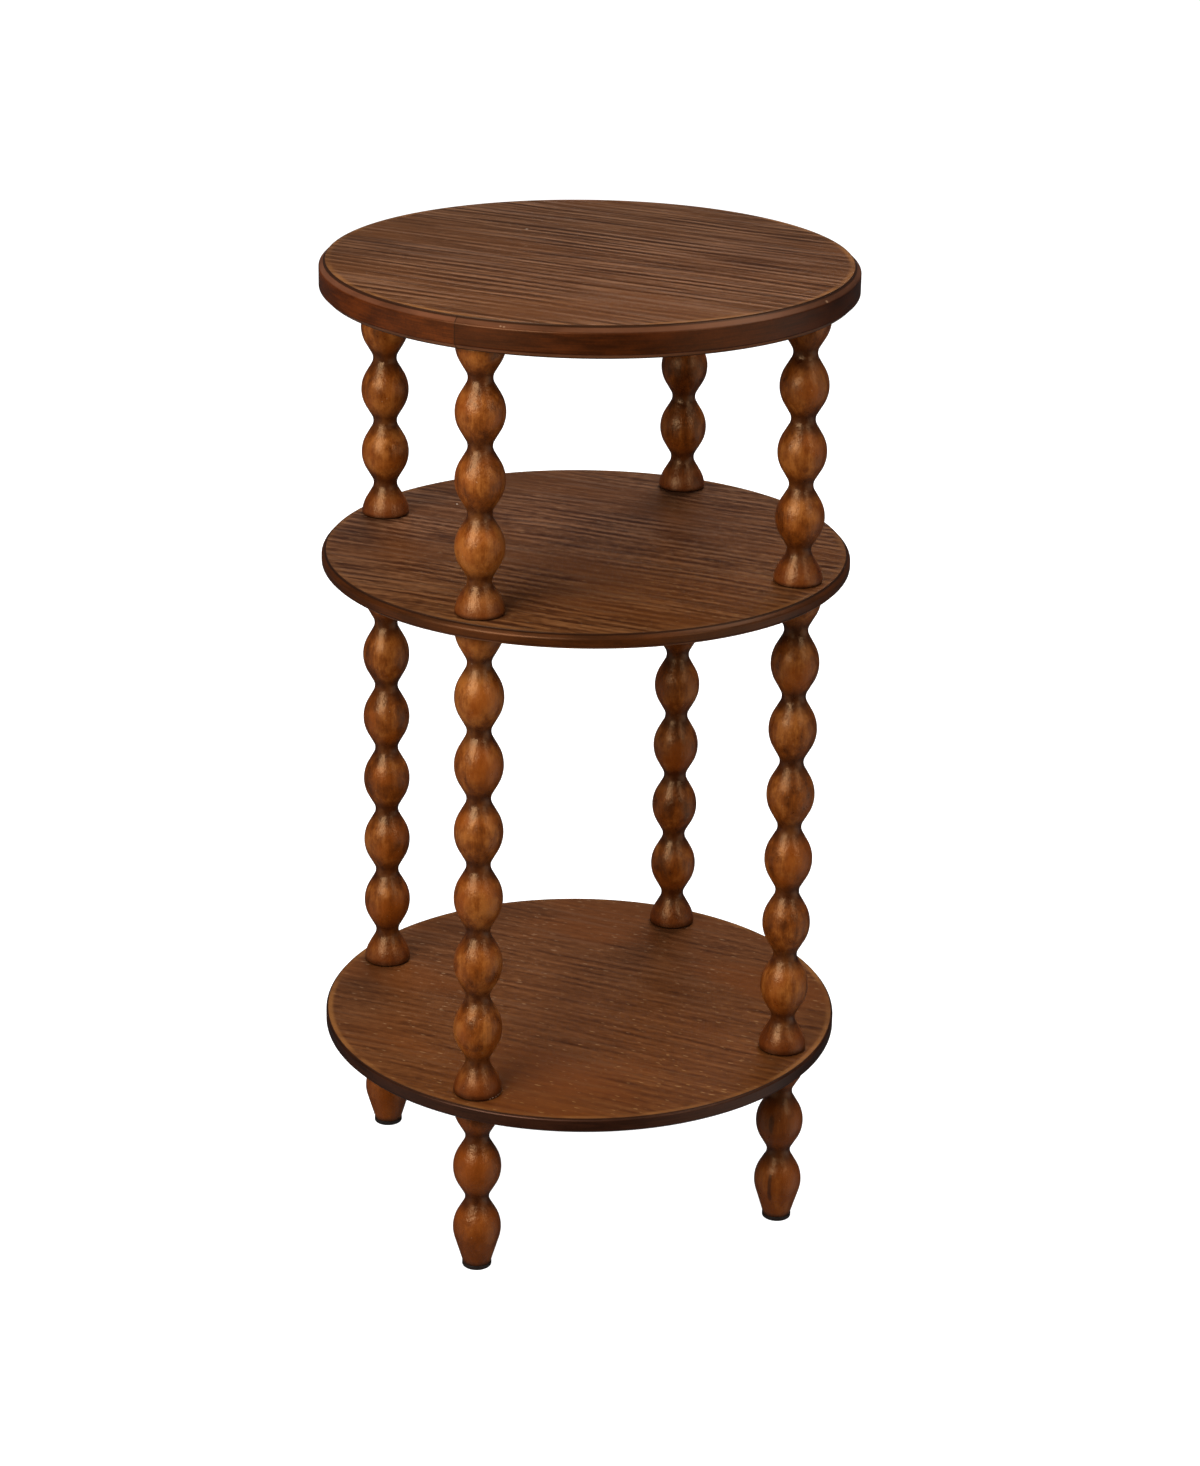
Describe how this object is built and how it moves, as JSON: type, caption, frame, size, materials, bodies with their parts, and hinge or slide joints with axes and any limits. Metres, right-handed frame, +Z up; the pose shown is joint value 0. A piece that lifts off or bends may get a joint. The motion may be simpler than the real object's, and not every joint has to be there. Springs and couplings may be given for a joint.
{
  "type": "round side table",
  "caption": "Round tiered side table: a top and shelves carried by turned bead legs that end in tapered feet with glides.",
  "frame": {"origin": "on the floor, in the middle between the four feet", "axes": "+Z up; the front faces -Y, +X is to the right of someone who stands in front; the legs stand on the diagonals"},
  "size_m": [0.35, 0.35, 0.6554],
  "materials": {
    "top_veneer": "open-pored straight-grained veneer, stained walnut brown, satin",
    "shelf_veneer": "open-pored straight-grained veneer, stained darker and warmer, satin",
    "back_veneer": "plain balancing veneer, stained, matt",
    "top_edging": "reddish dark brown stained edge band, satin",
    "shelf_edging": "dark brown stained edge band, satin",
    "turned_wood": "amber-brown stained turned wood, satin lacquer",
    "board_core": "raw fibreboard, matt",
    "glide": "hard black plastic",
    "zinc_steel": "zinc-plated steel",
    "insert_metal": "brass threaded insert"
  },
  "bodies": {
    "root": {"top_core": "board_core", "top_back_veneer": "back_veneer", "top_face_veneer": "top_veneer", "top_right_edge_band": "top_edging", "top_left_edge_band": "top_edging", "middle_shelf_core": "board_core", "middle_shelf_back_veneer": "back_veneer", "middle_shelf_face_veneer": "shelf_veneer", "middle_shelf_edge_band": "shelf_edging", "bottom_shelf_core": "board_core", "bottom_shelf_back_veneer": "back_veneer", "bottom_shelf_face_veneer": "shelf_veneer", "bottom_shelf_edge_band": "shelf_edging", "glide_back_right": "glide", "foot_back_right": "turned_wood", "lower_spindle_back_right": "turned_wood", "upper_spindle_back_right": "turned_wood", "glide_back_left": "glide", "foot_back_left": "turned_wood", "lower_spindle_back_left": "turned_wood", "upper_spindle_back_left": "turned_wood", "glide_front_left": "glide", "foot_front_left": "turned_wood", "lower_spindle_front_left": "turned_wood", "upper_spindle_front_left": "turned_wood", "glide_front_right": "glide", "foot_front_right": "turned_wood", "lower_spindle_front_right": "turned_wood", "upper_spindle_front_right": "turned_wood", "foot_hanger_bolts": "zinc_steel", "lower_hanger_bolts": "zinc_steel", "upper_hanger_bolts": "zinc_steel", "glide_nails": "zinc_steel", "lower_spindle_inserts": "insert_metal", "upper_spindle_inserts": "insert_metal", "top_inserts": "insert_metal"}
  },
  "joints": []
}
